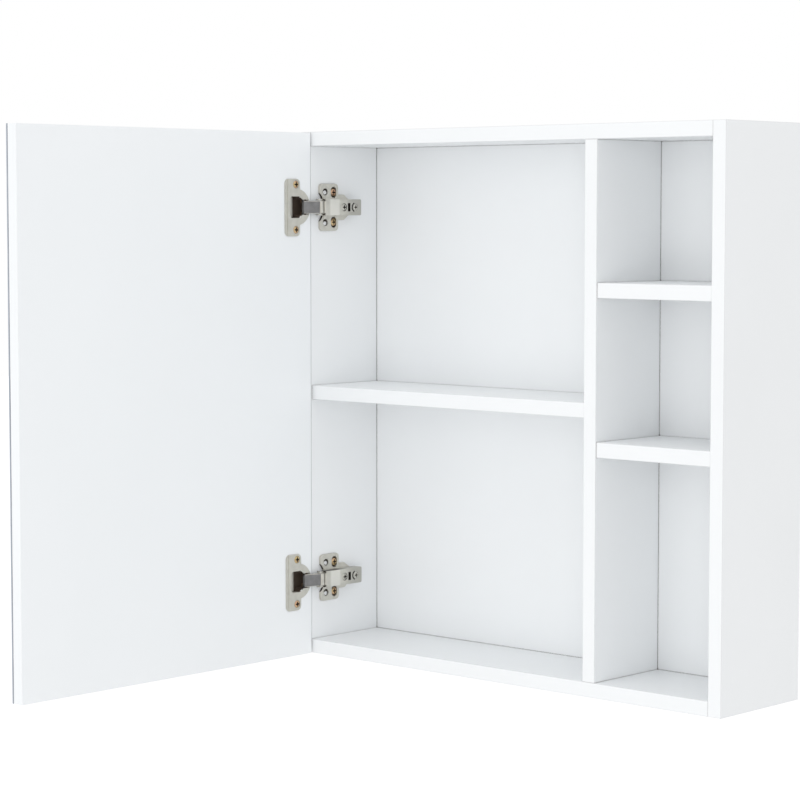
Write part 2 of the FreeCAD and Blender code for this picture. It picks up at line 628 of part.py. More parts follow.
    # Mounting plate: two wings on the side panel and a hump inside the arm.
    wing_flat = block(name + "_wing_flat", "plate_thickness", "plate_back - plate_front", "plate_height", back,
                      "front + plate_front", z + " - plate_height / 2")
    wings = rounded(name + "_wings", wing_flat, along_x, "plate_corner")
    hump = block(name + "_hump", "arm_top - arm_sheet", "plate_hump_back - plate_hump_front",
                 "2 * plate_hump_half_width", back, "front + plate_hump_front", z + " - plate_hump_half_width")
    shoulder = block(name + "_shoulder", "shoulder_thickness", "shoulder_back - plate_back + plate_corner",
                     "2 * shoulder_half_height", back, "front + plate_back - plate_corner",
                     z + " - shoulder_half_height")
    tip = doc.addObject("Part::Wedge", name + "_shoulder_tip")
    for prop, text in (("Xmin", "0"), ("X2min", "0"), ("Ymin", "0"), ("Zmin", "-shoulder_half_height"),
                       ("Z2min", "-shoulder_tip_half_height"), ("Zmax", "shoulder_half_height"),
                       ("Z2max", "shoulder_tip_half_height"), ("Ymax", "shoulder_tip - shoulder_back"),
                       ("Xmax", "shoulder_thickness"), ("X2max", "shoulder_thickness")):
        bind(tip, prop, text)
    place(tip, back, "front + shoulder_back", z)
    plate_tools = [
        rod(name + "_adjuster_thread", "adjuster_radius + press_play", "adjuster_length - arm_sheet", web_low,
            "front + adjuster_setback", z, "-x"),
        rod(name + "_lock_thread", "hinge_screw_radius + press_play", "adjuster_length - arm_sheet", web_low,
            "front + lock_setback", z, "-x"),
    ]
    plate_screws = []
    for end_name, sign in (("upper", "+"), ("lower", "-")):
        label = "%s_plate_screw_%s" % (name, end_name)
        screw_y = "front + plate_screw_setback"
        screw_z = "%s %s plate_screw_spacing / 2" % (z, sign)
        plate_screws.append(cross_head_screw(label, back + " + plate_thickness", screw_y, screw_z, "hinge_screw_head",
                                             "hinge_screw_head_height", "hinge_screw_radius", "hinge_screw_length"))
        reach = "hinge_screw_radius + screw_play"
        plate_tools.append(block(label + "_slot", "plate_thickness", "2 * (%s)" % reach, "2 * plate_slot_travel", back,
                                 screw_y + " - (%s)" % reach, screw_z + " - plate_slot_travel"))
        for cap_name, cap_sign in (("high", "+"), ("low", "-")):
            plate_tools.append(rod("%s_slot_%s" % (label, cap_name), reach, "plate_thickness", back, screw_y,
                                   "%s %s plate_slot_travel" % (screw_z, cap_sign), "x"))
        plate_tools.append(rod(label + "_dimple", "plate_dimple_radius", "plate_thickness", back,
                               "front + plate_dimple_setback", screw_z, "x"))
        hole("left_side_panel", rod(label + "_pilot", "hinge_screw_radius + press_play",
                                    "hinge_screw_length - plate_thickness", back, screw_y, screw_z, "-x"))
    finish(cut(name + "_plate_piece", fuse(name + "_plate_solid", [wings, hump, shoulder, tip]), plate_tools), name + "_hinge_plate")
    finish(group(name + "_plate_screw_group", plate_screws), name + "_hinge_plate_screws")


hinge("upper", "upper_hinge")
hinge("lower", "lower_hinge")

# Boards of the carcass.
boards = [
    ("left_side_panel", "board", "carcass_depth", "carcass_height", "left_outer", "front", "bottom_outer"),
    ("right_side_panel", "board", "carcass_depth", "carcass_height", "right_inner", "front", "bottom_outer"),
    ("top_panel", "inner_width", "carcass_depth", "board", "left_inner", "front", "top_inner"),
    ("bottom_panel", "inner_width", "carcass_depth", "board", "left_inner", "front", "bottom_outer"),
    ("divider_panel", "board", "back_inset", "inner_height", "divider_left", "front", "bottom_inner"),
    ("main_shelf", "divider_left - left_inner", "back_inset - shelf_setback", "board", "left_inner",
     "front + shelf_setback", "main_shelf_bottom"),
    ("right_upper_shelf", "right_inner - divider_right", "back_inset - shelf_setback", "board", "divider_right",
     "front + shelf_setback", "right_upper_shelf_bottom"),
    ("right_lower_shelf", "right_inner - divider_right", "back_inset - shelf_setback", "board", "divider_right",
     "front + shelf_setback", "right_lower_shelf_bottom"),
    ("hanger_rail", "inner_width", "rail_thickness", "rail_height", "left_inner", "rail_front",
     "top_inner - rail_height"),
]
for name, dx, dy, dz, x, y, z in boards:
    board = eased(name + "_eased", block(name + "_board", dx, dy, dz, x, y, z))
    finish(cut(name + "_piece", board, holes[name]), name)
finish(block("back_panel_piece", "inner_width + 2 * groove_depth", "back_thickness", "inner_height + 2 * groove_depth",
             "left_inner - groove_depth", "back_front", "bottom_inner - groove_depth"), "back_panel")

# Fittings, one group of each kind.
finish(group("dowel_group", dowels), "wooden_dowels")
finish(group("bolt_group", bolts), "cam_bolts")
finish(group("cam_group", cams), "cam_locks")
finish(group("divider_screw_group", divider_screws), "divider_screws")
finish(group("hanger_plate_group", hanger_plates), "hanger_plates")
finish(group("hanger_screw_group", hanger_screws), "hanger_screws")

# Door: a board with a mirror glued on its outer face.
door_board = block("door_board", "door_thickness", "door_width", "door_height", "door_face - door_thickness",
                   "door_edge - door_width", "door_bottom")
finish(cut("door_piece", eased("door_eased", door_board), door_holes), "door_panel")
finish(block("film_piece", "film_thickness", "door_width - 2 * film_margin", "door_height - 2 * film_margin", "film_outer",
             "door_edge - door_width + film_margin", "door_bottom + film_margin"), "mirror_backing_film")
glass_block = block("glass_block", "glass_thickness", "door_width", "door_height", "glass_outer",
                    "door_edge - door_width", "door_bottom")
doc.recompute()
glass = doc.addObject("Part::Chamfer", "glass_piece")
glass.Base = glass_block
chamfer = value("glass_chamfer")
glass.Edges = [(number, chamfer, chamfer) for number, edge in enumerate(glass_block.Shape.Edges, start=1)
               if abs(edge.CenterOfMass.x - value("glass_outer")) < 0.01]
finish(glass, "mirror_glass")

doc.recompute()
os.makedirs("parts", exist_ok=True)
for piece in doc.Objects:
    if "Invalid" in piece.State or "Error" in piece.State:
        raise RuntimeError("did not build: " + piece.Name)
for piece in finished:
    if piece.Shape.isNull() or not piece.Shape.isValid():
        raise RuntimeError("bad shape: " + piece.Label)
    piece.Shape.exportStep("parts/" + piece.Label + ".step")
print(len(finished), "sub-parts written")
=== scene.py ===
import json
import math

import bpy
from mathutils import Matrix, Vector


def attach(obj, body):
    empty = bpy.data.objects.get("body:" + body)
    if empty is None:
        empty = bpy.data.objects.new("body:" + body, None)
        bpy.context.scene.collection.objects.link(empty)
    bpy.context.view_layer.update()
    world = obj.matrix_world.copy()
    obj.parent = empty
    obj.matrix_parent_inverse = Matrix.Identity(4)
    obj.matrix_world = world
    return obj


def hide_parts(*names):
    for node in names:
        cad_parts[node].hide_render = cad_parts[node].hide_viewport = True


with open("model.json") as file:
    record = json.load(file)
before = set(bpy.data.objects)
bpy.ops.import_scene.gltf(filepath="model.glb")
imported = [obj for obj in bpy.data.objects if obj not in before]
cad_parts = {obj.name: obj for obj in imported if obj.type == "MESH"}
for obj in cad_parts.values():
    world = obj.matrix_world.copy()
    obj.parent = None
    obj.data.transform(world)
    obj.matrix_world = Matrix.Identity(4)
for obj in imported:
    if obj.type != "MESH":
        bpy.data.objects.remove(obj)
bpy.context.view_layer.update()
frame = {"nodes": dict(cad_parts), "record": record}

scene = bpy.context.scene
scene.view_settings.view_transform = "Standard"

# Hinge places in millimetres. The pieces of a hinge are modelled on the upper one and copied to the lower.
MM = 0.001
UPPER_Z = -40.0
LOWER_Z = -440.0
SIDE_FACE = -261.0
FRONT = -130.0
DOOR_FACE = -259.3
CUP_Y = -153.6
CUP_PIN = (-262.9, -140.15)
ARM_PIN = (-253.3, -124.0)

# Camera, set by the corners of the carcass in the photograph.
CAMERA_PLACE = Vector((1.64263, -2.06945, -0.0465))
CAMERA_FORWARD = Vector((-0.673244, 0.735771, -0.0733704))
CAMERA_LENS_MM = 114.19
CAMERA_SENSOR_MM = 36.0
CAMERA_NEAREST = 0.05
CAMERA_FARTHEST = 50.0

lens = bpy.data.cameras.new("camera")
lens.lens = CAMERA_LENS_MM
lens.sensor_width = CAMERA_SENSOR_MM
lens.clip_start = CAMERA_NEAREST
lens.clip_end = CAMERA_FARTHEST
camera = bpy.data.objects.new("camera", lens)
camera.location = CAMERA_PLACE
camera.rotation_mode = "QUATERNION"
camera.rotation_quaternion = CAMERA_FORWARD.to_track_quat("-Z", "Y")
scene.collection.objects.link(camera)
scene.camera = camera


# Node steps shared by the surround and the finishes.
def joined(nodes, links, way, first, second):
    # One value from two.
    step = nodes.new("ShaderNodeMath")
    step.operation = way
    links.new(first, step.inputs[0])
    links.new(second, step.inputs[1])
    return step.outputs[0]


def past(nodes, links, way, value, limit):
    # 1 where the value lies past the limit, and 0 elsewhere.
    step = nodes.new("ShaderNodeMath")
    step.operation = way
    step.inputs[1].default_value = limit
    links.new(value, step.inputs[0])
    return step.outputs[0]


def split(nodes, links, vector):
    # The X, Y and Z of a place or a normal.
    axes = nodes.new("ShaderNodeSeparateXYZ")
    links.new(vector, axes.inputs[0])
    return axes.outputs


def ranged(nodes, links, value, end, low, high):
    # Spreads low to high over 0 to 1 where end is "From", and 0 to 1 over low to high where it is "To".
    span = nodes.new("ShaderNodeMapRange")
    span.inputs[end + " Min"].default_value = low
    span.inputs[end + " Max"].default_value = high
    links.new(value, span.inputs["Value"])
    return span


def blended(nodes, links, share, first, second):
    # The first colour where share is 0 and the second where it is 1, each fixed or from another node.
    mixed = nodes.new("ShaderNodeMix")
    mixed.data_type = "RGBA"
    links.new(share, mixed.inputs["Factor"])
    for end, colour in (("A", first), ("B", second)):
        if isinstance(colour, tuple):
            mixed.inputs[end].default_value = colour
        else:
            links.new(colour, mixed.inputs[end])
    return mixed.outputs["Result"]


# Studio: a white surround and soft lamps.
WHITE = (1.0, 1.0, 1.0, 1.0)
SURROUND_LIGHT = 0.838
SURROUND_SEEN = 1.0
LAMP_AIM = (0.0, -0.2, -0.25)
# Each lamp's place, width and height in metres, and its power in watts.
LAMPS = (
    ("camera_lamp", (1.64, -2.07, 0.25), 0.8, 0.8, 3.1),
    ("low_lamp", (1.5, -2.2, -0.75), 0.8, 0.8, 5.8),
    ("front_left_lamp", (-0.9, -2.8, 0.5), 1.6, 1.6, 3.8),
    ("front_lamp", (-0.4, -2.9, -0.3), 1.2, 1.2, 3.0),
    ("top_lamp", (0.4, -1.0, 2.4), 2.4, 1.6, 8.3),
)


def paint_surround():
    # White to the camera, in reflections and through glass, and a little dimmer as a light.
    world = bpy.data.worlds.new("white_surround")
    scene.world = world
    world.use_nodes = True
    nodes = world.node_tree.nodes
    links = world.node_tree.links
    nodes.clear()
    path = nodes.new("ShaderNodeLightPath")
    seen = joined(nodes, links, "MAXIMUM", path.outputs["Is Camera Ray"], path.outputs["Is Glossy Ray"])
    shown = joined(nodes, links, "MAXIMUM", seen, path.outputs["Is Transmission Ray"])
    mix = nodes.new("ShaderNodeMixShader")
    links.new(shown, mix.inputs[0])
    for end, strength in ((1, SURROUND_LIGHT), (2, SURROUND_SEEN)):
        sky = nodes.new("ShaderNodeBackground")
        sky.inputs["Color"].default_value = WHITE
        sky.inputs["Strength"].default_value = strength
        links.new(sky.outputs[0], mix.inputs[end])
    out = nodes.new("ShaderNodeOutputWorld")
    links.new(mix.outputs[0], out.inputs["Surface"])


def hang_lamp(name, place, wide, high, watts):
    data = bpy.data.lights.new(name, "AREA")
    data.shape = "RECTANGLE"
    data.size = wide
    data.size_y = high
    data.energy = watts
    lamp = bpy.data.objects.new(name, data)
    lamp.location = place
    lamp.rotation_mode = "QUATERNION"
    lamp.rotation_quaternion = (Vector(LAMP_AIM) - Vector(place)).to_track_quat("-Z", "Y")
    lamp.visible_camera = False
    lamp.visible_glossy = False
    scene.collection.objects.link(lamp)


paint_surround()
for lamp_values in LAMPS:
    hang_lamp(*lamp_values)

# Finishes. A mottle is given by scale and detail, a grain by scale, strength and depth in metres, and a
# roughness by its least and most.
MOTTLE_STOPS = (0.3, 0.7)
GRAIN_DETAIL = 2.0
FLAT_NORMAL = 0.9

BOARD_MOTTLE = (7.0, 4.0)
BOARD_GRAIN = (700.0, 0.06, 0.0004)
BOARD_ROUGH = (0.36, 0.48)
BOARD_GLOSS = 0.4
BOARD_LOW = (0.905, 0.922, 0.934)
BOARD_HIGH = (0.922, 0.939, 0.951)
# The door's white is painted a little lighter than the carcass boards, as painted light for the light it gets.
DOOR_LIT_LOW = (0.922, 0.945, 0.962)
DOOR_LIT_HIGH = (0.935, 0.958, 0.975)
BACK_LOW = (0.903, 0.920, 0.932)
BACK_HIGH = (0.920, 0.937, 0.949)
# Raw board, darkened as painted shade.
SHADED_RAW_BOARD = (0.24, 0.165, 0.11, 1.0)
# Painted shade in the board joints, dark where open and lighter where tight.
OPEN_JOINT_SHADE = (0.16, 0.147, 0.135, 1.0)
TIGHT_JOINT_SHADE = (0.58, 0.575, 0.57, 1.0)
# Painted shade on the chamfered edges of the carcass boards.
CHAMFER_SHADE = (0.76, 0.77, 0.78, 1.0)
CLEAN_EDGE = (0.915, 0.932, 0.944, 1.0)

JOINT_SAMPLES = 4
JOINT_REACH = 0.0018
JOINT_OPENS = (0.45, 0.8)
# Boxes in metres, by middle and half size along X, Y and Z, with None for all of an axis.
# The shelves are pressed against the back, so their joints with it stay tight and get a lighter painted shade.
LEFT_BAY = (-0.07525, 0.1845)
RIGHT_BAY = (0.19325, 0.0665)
SHELF_JOINT_HALF = 0.0115
SHELF_JOINTS = (
    (LEFT_BAY, None, (-0.238, SHELF_JOINT_HALF)),
    (RIGHT_BAY, None, (-0.121, SHELF_JOINT_HALF)),
    (RIGHT_BAY, None, (-0.276, SHELF_JOINT_HALF)),
)
# The bores for the hinge cups show the raw board, its colour darkened as painted shade for the deep bore.
BORE_DEPTH = (-0.2655, 0.0058)
BORE_HALF = 0.0181
CUP_BORES = tuple((BORE_DEPTH, (CUP_Y * MM, BORE_HALF), (z * MM, BORE_HALF)) for z in (UPPER_Z, LOWER_Z))

PLATING_MOTTLE = (160.0, 5.0)
PLATING_GRAIN = (2500.0, 0.05, 0.0002)
SATIN = (0.42, 0.55)
BRIGHT = (0.28, 0.42)
POLISHED = (0.12, 0.2)
AS_CAST = (0.4, 0.55)
RECESS_ROUGH = (0.4, 0.6)
ROLLED = (0.38, 0.5)
NICKEL_LOW = (0.63, 0.612, 0.552)
NICKEL_HIGH = (0.71, 0.692, 0.63)
# Painted highlight for the arm's crown band and painted shade for its rear.
NICKEL_PAINTED_HIGHLIGHT = (0.82, 0.803, 0.745, 1.0)
NICKEL_PAINTED_SHADE = (0.52, 0.508, 0.465, 1.0)
# Painted shade for the arm's sides.
CHEEK_SHADE_LOW = (0.20, 0.196, 0.19)
CHEEK_SHADE_HIGH = (0.27, 0.265, 0.255)
# Painted shade deep in the cup's well.
WELL_SHADE = (0.105, 0.078, 0.06, 1.0)
WELL_METALLIC = 0.2
# Where a plating changes from front to back, in metres.
HIGHLIGHT_BAND_STARTS = (-0.1155, -0.1125)
HIGHLIGHT_BAND_ENDS = (-0.0985, -0.1015)
REAR_SHADE_SPAN = (-0.099, -0.076)
CHEEK_SHADE_SPAN = (-0.102, -0.088)
WELL_DARKENS = (-0.16, -0.15)

GLASS_MOTTLE = (30.0, 2.0)
GLASS_LOW = (0.34, 0.38, 0.45)
GLASS_HIGH = (0.48, 0.51, 0.57)
GLASS_EDGE_ROUGH = 0.22
SILVER = (0.84, 0.875, 0.885, 1.0)
SILVER_ROUGH = 0.015


def finish_nodes(name):
    material = bpy.data.materials.new(name)
    material.use_nodes = True
    nodes = material.node_tree.nodes
    place = nodes.new("ShaderNodeTexCoord")
    return material, nodes, material.node_tree.links, nodes["Principled BSDF"], place


def mottle(nodes, links, place, pattern, low, high):
    # A cloudy pattern and the colour that it gives, from low to high.
    noise = nodes.new("ShaderNodeTexNoise")
    noise.inputs["Scale"].default_value, noise.inputs["Detail"].default_value = pattern
    links.new(place.outputs["Object"], noise.inputs["Vector"])
    ramp = nodes.new("ShaderNodeValToRGB")
    for number, colour in enumerate((low, high)):
        ramp.color_ramp.elements[number].position = MOTTLE_STOPS[number]
        ramp.color_ramp.elements[number].color = (*colour, 1.0)
    links.new(noise.outputs["Fac"], ramp.inputs["Fac"])
    return noise.outputs["Fac"], ramp.outputs["Color"]


def grain(nodes, links, place, shader, scale, strength, depth):
    noise = nodes.new("ShaderNodeTexNoise")
    noise.inputs["Scale"].default_value = scale
    noise.inputs["Detail"].default_value = GRAIN_DETAIL
    links.new(place.outputs["Object"], noise.inputs["Vector"])
    bump = nodes.new("ShaderNodeBump")
    bump.inputs["Strength"].default_value = strength
    bump.inputs["Distance"].default_value = depth
    links.new(noise.outputs["Fac"], bump.inputs["Height"])
    links.new(bump.outputs["Normal"], shader.inputs["Normal"])


def rough(nodes, links, cloud, shader, least, most):
    span = ranged(nodes, links, cloud, "To", least, most)
    links.new(span.outputs["Result"], shader.inputs["Roughness"])


def painted_joint_shade(nodes, links, colour, joint):
    # Painted shade, found by ambient occlusion, in the narrow joints where two boards meet.
    near = nodes.new("ShaderNodeAmbientOcclusion")
    near.samples = JOINT_SAMPLES
    near.inputs["Distance"].default_value = JOINT_REACH
    open_share = ranged(nodes, links, near.outputs["AO"], "From", *JOINT_OPENS)
    return blended(nodes, links, open_share.outputs["Result"], joint, colour)


def within_boxes(nodes, links, place, boxes):
    # 1 inside any of the boxes, and 0 elsewhere.
    axes = split(nodes, links, place.outputs["Object"])
    share = None
    for box in boxes:
        inside = None
        for axis, span in zip("XYZ", box):
            if span is None:
                continue
            near = nodes.new("ShaderNodeMath")
            near.operation = "COMPARE"
            near.inputs[1].default_value, near.inputs[2].default_value = span
            links.new(axes[axis], near.inputs[0])
            here = near.outputs[0]
            inside = joined(nodes, links, "MULTIPLY", inside, here) if inside else here
        share = joined(nodes, links, "MAXIMUM", share, inside) if share else inside
    return share


def broken_edges(nodes, links, place, colour, edge_shade):
    # The small chamfers, where the normal lies along no axis, take the given edge colour, which on the carcass
    # boards is a painted shade for the shaded rounding of the edge band.
    turned = nodes.new("ShaderNodeVectorMath")
    turned.operation = "ABSOLUTE"
    links.new(place.outputs["Normal"], turned.inputs[0])
    axes = split(nodes, links, turned.outputs["Vector"])
    most = joined(nodes, links, "MAXIMUM", axes["X"], axes["Y"])
    largest = joined(nodes, links, "MAXIMUM", most, axes["Z"])
    flat = past(nodes, links, "GREATER_THAN", largest, FLAT_NORMAL)
    return blended(nodes, links, flat, edge_shade, colour)


def along(nodes, links, place, start, stop):
    # 0 at start and 1 at stop, measured front to back in metres.
    axes = split(nodes, links, place.outputs["Object"])
    span = ranged(nodes, links, axes["Y"], "From", start, stop)
    span.interpolation_type = "SMOOTHSTEP"
    return span.outputs["Result"]


def white_laminate(name, low, high, joint, edge_shade, tight=(), raw=()):
    # White board with painted shade lines at its joints, lighter in the tight boxes, and the raw board, darkened as
    # painted shade, in the raw ones.
    material, nodes, links, shader, place = finish_nodes(name)
    cloud, colour = mottle(nodes, links, place, BOARD_MOTTLE, low, high)
    colour = broken_edges(nodes, links, place, colour, edge_shade)
    if tight:
        joint = blended(nodes, links, within_boxes(nodes, links, place, tight), joint, TIGHT_JOINT_SHADE)
    colour = painted_joint_shade(nodes, links, colour, joint)
    if raw:
        colour = blended(nodes, links, within_boxes(nodes, links, place, raw), colour, SHADED_RAW_BOARD)
    links.new(colour, shader.inputs["Base Color"])
    rough(nodes, links, cloud, shader, *BOARD_ROUGH)
    shader.inputs["Specular IOR Level"].default_value = BOARD_GLOSS
    grain(nodes, links, place, shader, *BOARD_GRAIN)
    return material


def matt(name, pattern, low, high, roughness):
    material, nodes, links, shader, place = finish_nodes(name)
    cloud, colour = mottle(nodes, links, place, pattern, low, high)
    links.new(colour, shader.inputs["Base Color"])
    rough(nodes, links, cloud, shader, *roughness)
    return material


def plated(name, low, high, roughness):
    material, nodes, links, shader, place = finish_nodes(name)
    cloud, colour = mottle(nodes, links, place, PLATING_MOTTLE, low, high)
    links.new(colour, shader.inputs["Base Color"])
    shader.inputs["Metallic"].default_value = 1.0
    rough(nodes, links, cloud, shader, *roughness)
    grain(nodes, links, place, shader, *PLATING_GRAIN)
    return material


def arm_plating():
    # Nickel with a painted highlight band across the crown of the arm and a darker painted shade over its rear.
    material, nodes, links, shader, place = finish_nodes("arm_nickel")
    cloud, colour = mottle(nodes, links, place, PLATING_MOTTLE, NICKEL_LOW, NICKEL_HIGH)
    rise = along(nodes, links, place, *HIGHLIGHT_BAND_STARTS)
    fall = along(nodes, links, place, *HIGHLIGHT_BAND_ENDS)
    band = joined(nodes, links, "MULTIPLY", rise, fall)
    colour = blended(nodes, links, band, colour, NICKEL_PAINTED_HIGHLIGHT)
    colour = blended(nodes, links, along(nodes, links, place, *REAR_SHADE_SPAN), colour, NICKEL_PAINTED_SHADE)
    links.new(colour, shader.inputs["Base Color"])
    shader.inputs["Metallic"].default_value = 1.0
    rough(nodes, links, cloud, shader, *SATIN)
    grain(nodes, links, place, shader, *PLATING_GRAIN)
    return material


def changing_plating(name, low, high, change, tone, metallic):
    # A plating that turns to another tone from front to back.
    material, nodes, links, shader, place = finish_nodes(name)
    cloud, colour = mottle(nodes, links, place, PLATING_MOTTLE, low, high)
    colour = blended(nodes, links, along(nodes, links, place, *change), colour, tone)
    links.new(colour, shader.inputs["Base Color"])
    shader.inputs["Metallic"].default_value = metallic
    rough(nodes, links, cloud, shader, *SATIN)
    return material


def mirror_glass():
    # Silvered on the outer face, blue-grey ground glass on the edges.
    material, nodes, links, shader, place = finish_nodes("mirror")
    _, colour = mottle(nodes, links, place, GLASS_MOTTLE, GLASS_LOW, GLASS_HIGH)
    axes = split(nodes, links, place.outputs["Normal"])
    face = past(nodes, links, "LESS_THAN", axes["X"], -FLAT_NORMAL)
    links.new(blended(nodes, links, face, colour, SILVER), shader.inputs["Base Color"])
    links.new(face, shader.inputs["Metallic"])
    rough(nodes, links, face, shader, GLASS_EDGE_ROUGH, SILVER_ROUGH)
    return material


white_board = white_laminate("white_board", BOARD_LOW, BOARD_HIGH, TIGHT_JOINT_SHADE, CHAMFER_SHADE)
door_board = white_laminate("white_door_board", DOOR_LIT_LOW, DOOR_LIT_HIGH, TIGHT_JOINT_SHADE, CLEAN_EDGE, raw=CUP_BORES)
back_board = white_laminate("white_back_board", BACK_LOW, BACK_HIGH, OPEN_JOINT_SHADE, CLEAN_EDGE, tight=SHELF_JOINTS)
nickel = plated("nickel_steel", NICKEL_LOW, NICKEL_HIGH, SATIN)
zinc = plated("bright_zinc", (0.60, 0.61, 0.63), (0.70, 0.71, 0.73), BRIGHT)
casting = plated("zinc_casting", (0.52, 0.53, 0.54), (0.62, 0.63, 0.64), AS_CAST)
gold = plated("yellow_zinc", (0.66, 0.38, 0.27), (0.66, 0.54, 0.27), BRIGHT)
bright_steel = plated("bright_steel", (0.66, 0.66, 0.65), (0.76, 0.76, 0.75), POLISHED)
# Painted shade for recesses, slots, screw seats and the faces under the arm.
painted_shade_steel = plated("painted_shade_steel", (0.035, 0.028, 0.024), (0.07, 0.055, 0.045), RECESS_ROUGH)
# Painted shade: a darker steel for the link's web, which reflects darker things, and for the cup pins.
link_painted_shade = plated("link_painted_shade", (0.214, 0.212, 0.213), (0.283, 0.281, 0.282), ROLLED)
arm_nickel = arm_plating()
# The arm's sides are painted shade: dark grey in front and as dark as the painted shade of its top further back.
cheek_painted_shade = changing_plating("cheek_painted_shade", CHEEK_SHADE_LOW, CHEEK_SHADE_HIGH, CHEEK_SHADE_SPAN, NICKEL_PAINTED_SHADE, 1.0)
# The cup's well is plated at its front end and painted with a brown-black shade further back.
well_painted_shade = changing_plating("well_painted_shade", NICKEL_LOW, NICKEL_HIGH, WELL_DARKENS, WELL_SHADE, WELL_METALLIC)

finishes = {
    "white_board": white_board,
    "white_back_board": back_board,
    "raw_board": white_board,
    "beech": matt("beech", (60.0, 6.0), (0.62, 0.42, 0.22), (0.76, 0.57, 0.35), (0.55, 0.7)),
    "mirror": mirror_glass(),
    "backing_film": matt("backing_film", (40.0, 3.0), (0.16, 0.18, 0.20), (0.20, 0.22, 0.25), (0.5, 0.65)),
    "nickel_steel": nickel,
    "zinc_steel": zinc,
    "zinc_casting": casting,
    "yellow_zinc": gold,
}
# The cup pins take the link's painted shade.
own_finishes = {
    "door_panel": door_board,
    "upper_hinge_cup_pin": link_painted_shade,
    "lower_hinge_cup_pin": link_painted_shade,
}
for row in frame["record"]["subparts"]:
    node = frame["nodes"][row["node"]]
    node.data.materials.clear()
    node.data.materials.append(own_finishes.get(row["node"], finishes[row["material_slot"]]))

# Modelling helpers. Sizes are given in millimetres and turned into metres here.
SOFTEN_ABOVE = math.radians(40.0)
SMOOTH_BELOW = math.radians(35.0)


def only(piece):
    bpy.ops.object.select_all(action="DESELECT")
    piece.select_set(True)
    bpy.context.view_layer.objects.active = piece


def rename(piece, name):
    piece.name = name
    piece.data.name = name


def prism(name, points, run):
    # A closed outline drawn point by point, filled and drawn out along run.
    bpy.ops.object.select_all(action="DESELECT")
    bpy.ops.mesh.primitive_plane_add(size=MM, location=(0.0, 0.0, 0.0))
    piece = bpy.context.active_object
    rename(piece, name)
    corners = [Vector(point) * MM for point in points]
    bpy.ops.object.mode_set(mode="EDIT")
    bpy.ops.mesh.select_mode(type="VERT")
    bpy.ops.mesh.select_all(action="SELECT")
    bpy.ops.mesh.merge(type="CENTER")
    bpy.ops.transform.translate(value=corners[0])
    for before, after in zip(corners, corners[1:]):
        bpy.ops.mesh.extrude_vertices_move(TRANSFORM_OT_translate={"value": after - before})
    bpy.ops.mesh.select_all(action="SELECT")
    bpy.ops.mesh.edge_face_add()
    bpy.ops.mesh.extrude_region_move(TRANSFORM_OT_translate={"value": Vector(run) * MM})
    bpy.ops.mesh.select_all(action="SELECT")
    bpy.ops.mesh.normals_make_consistent(inside=False)
    bpy.ops.object.mode_set(mode="OBJECT")
    return piece


def slab(name, x, points, thick):
    # An outline of Y and Z, drawn out to the right from x.
    return prism(name, [(x, y, z) for y, z in points], (thick, 0.0, 0.0))


def profile(name, points, half):
    # An outline of X and Y, drawn out by half its height to each side of the hinge's middle.
    return prism(name, [(x, y, UPPER_Z - half) for x, y in points], (0.0, 0.0, 2 * half))


def rod(name, radius, long, middle, turn, sides):
    bpy.ops.object.select_all(action="DESELECT")
    bpy.ops.mesh.primitive_cylinder_add(vertices=sides, radius=radius * MM, depth=long * MM,
                                        location=Vector(middle) * MM, rotation=turn)
    piece = bpy.context.active_object
    rename(piece, name)
    bpy.ops.object.transform_apply(location=True, rotation=True, scale=True)
    return piece


def drum(name, radius, x0, x1, y, z, sides):
    # A round piece that lies across, from x0 to x1.
    return rod(name, radius, x1 - x0, ((x0 + x1) / 2, y, z), (0.0, math.pi / 2, 0.0), sides)


def post(name, radius, x, y, z0, z1, sides):
    # A round piece that stands upright, from z0 to z1.
    return rod(name, radius, z1 - z0, (x, y, (z0 + z1) / 2), (0.0, 0.0, 0.0), sides)


def block(y0, y1, z0, z1):
    return [(y0, z0), (y1, z0), (y1, z1), (y0, z1)]


def mirrored(start, half):
    # A whole outline from its upper half, given by the way back from start and the height above the middle.
    upper = [(start + y, UPPER_Z + z) for y, z in half]
    return upper + [(y, 2 * UPPER_Z - z) for y, z in reversed(upper)]


def off_middle(spot):
    # Height above or depth below the middle of the hinge.
    return abs(spot.z - UPPER_Z)


def runs_across(a, b):
    # Holds for an edge through the thickness of a flat piece.
    return abs(a.x - b.x) > ACROSS


def combine(piece, tool, way):
    only(piece)
    change = piece.modifiers.new("combine", "BOOLEAN")
    change.operation = way
    change.solver = "EXACT"
    change.object = tool
    bpy.ops.object.modifier_apply(modifier="combine")
    bpy.data.objects.remove(tool, do_unlink=True)


def cut(piece, tool):
    combine(piece, tool, "DIFFERENCE")


def unite(piece, tool):
    combine(piece, tool, "UNION")


def join(pieces):
    only(pieces[0])
    for piece in pieces[1:]:
        piece.select_set(True)
    if len(pieces) > 1:
        bpy.ops.object.join()


def pick(piece, kind, test):
    # Goes into edit mode with the edges or faces selected for which the test holds.
    only(piece)
    bpy.ops.object.mode_set(mode="EDIT")
    bpy.ops.mesh.select_mode(type=kind)
    bpy.ops.mesh.select_all(action="DESELECT")
    bpy.ops.object.mode_set(mode="OBJECT")
    for bit in piece.data.edges if kind == "EDGE" else piece.data.polygons:
        bit.select = test(bit)
    bpy.ops.object.mode_set(mode="EDIT")


def round_edges(piece, width, rings, test):
    # Bevels the edges for which test(first end, second end) holds, ends in millimetres.
    def chosen(edge):
        spots = piece.data.vertices
        first, second = edge.vertices
        return test(spots[first].co / MM, spots[second].co / MM)
    pick(piece, "EDGE", chosen)
    bpy.ops.mesh.bevel(offset=width * MM, segments=rings, affect="EDGES")
    bpy.ops.object.mode_set(mode="OBJECT")


